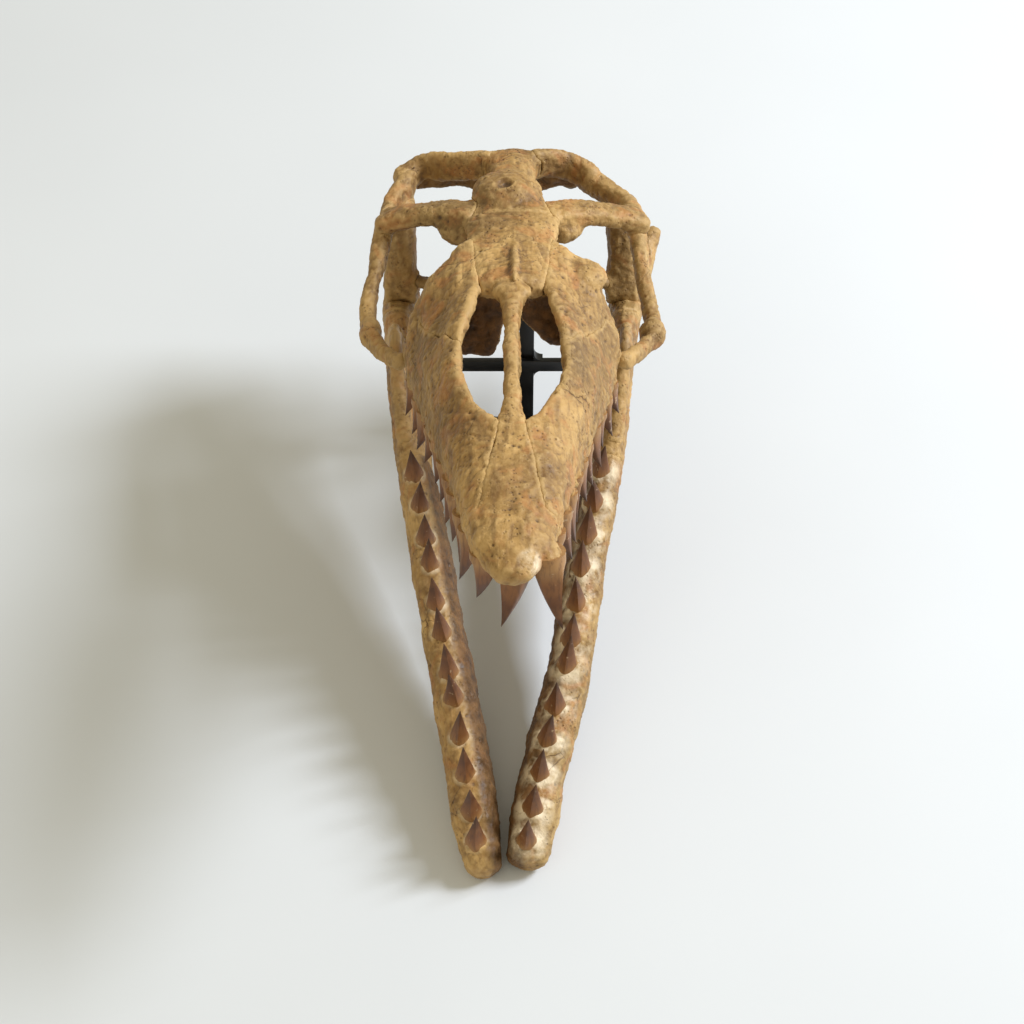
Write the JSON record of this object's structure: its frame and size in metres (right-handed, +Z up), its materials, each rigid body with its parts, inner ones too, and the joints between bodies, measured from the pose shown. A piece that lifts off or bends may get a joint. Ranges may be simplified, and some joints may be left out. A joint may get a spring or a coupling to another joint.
{
  "type": "fossil mosasaur skull on a stand",
  "caption": "Life-size fossil marine lizard skull with open toothed jaws, carried on a black flat-bar museum stand, the jaw tips resting on the table.",
  "frame": {"origin": "middle of the footprint on the table, at the lowest point", "axes": "+Z up, -Y the way the snout points, +X the animal's left"},
  "size_m": [0.3956, 0.8964, 0.5466],
  "materials": {
    "fossil_bone": "matt tan to golden brown fossil bone, pitted and cracked",
    "fossil_bone_jaw": "matt brown fossil bone with plaster fills round the teeth",
    "black_steel": "satin black paint"
  },
  "bodies": {
    "root": {"angular_left": "fossil_bone_jaw", "angular_right": "fossil_bone_jaw", "articular_left": "fossil_bone_jaw", "articular_right": "fossil_bone_jaw", "braincase": "fossil_bone", "coronoid_left": "fossil_bone_jaw", "coronoid_right": "fossil_bone_jaw", "dentary_left": "fossil_bone_jaw", "dentary_right": "fossil_bone_jaw", "frontal": "fossil_bone", "jugal_left": "fossil_bone", "jugal_right": "fossil_bone", "maxilla_left": "fossil_bone", "maxilla_right": "fossil_bone", "parietal": "fossil_bone", "postorbitofrontal_left": "fossil_bone", "postorbitofrontal_right": "fossil_bone", "prefrontal_left": "fossil_bone", "prefrontal_right": "fossil_bone", "premaxilla": "fossil_bone", "pterygoid_left": "fossil_bone", "pterygoid_right": "fossil_bone", "quadrate_left": "fossil_bone", "quadrate_right": "fossil_bone", "squamosal_left": "fossil_bone", "squamosal_right": "fossil_bone", "stand_base": "black_steel", "stand_cradle_left": "black_steel", "stand_cradle_right": "black_steel", "stand_crossbar": "black_steel", "stand_head": "black_steel", "stand_post": "black_steel", "supratemporal_left": "fossil_bone", "supratemporal_right": "fossil_bone", "surangular_left": "fossil_bone_jaw", "surangular_right": "fossil_bone_jaw"}
  },
  "joints": []
}
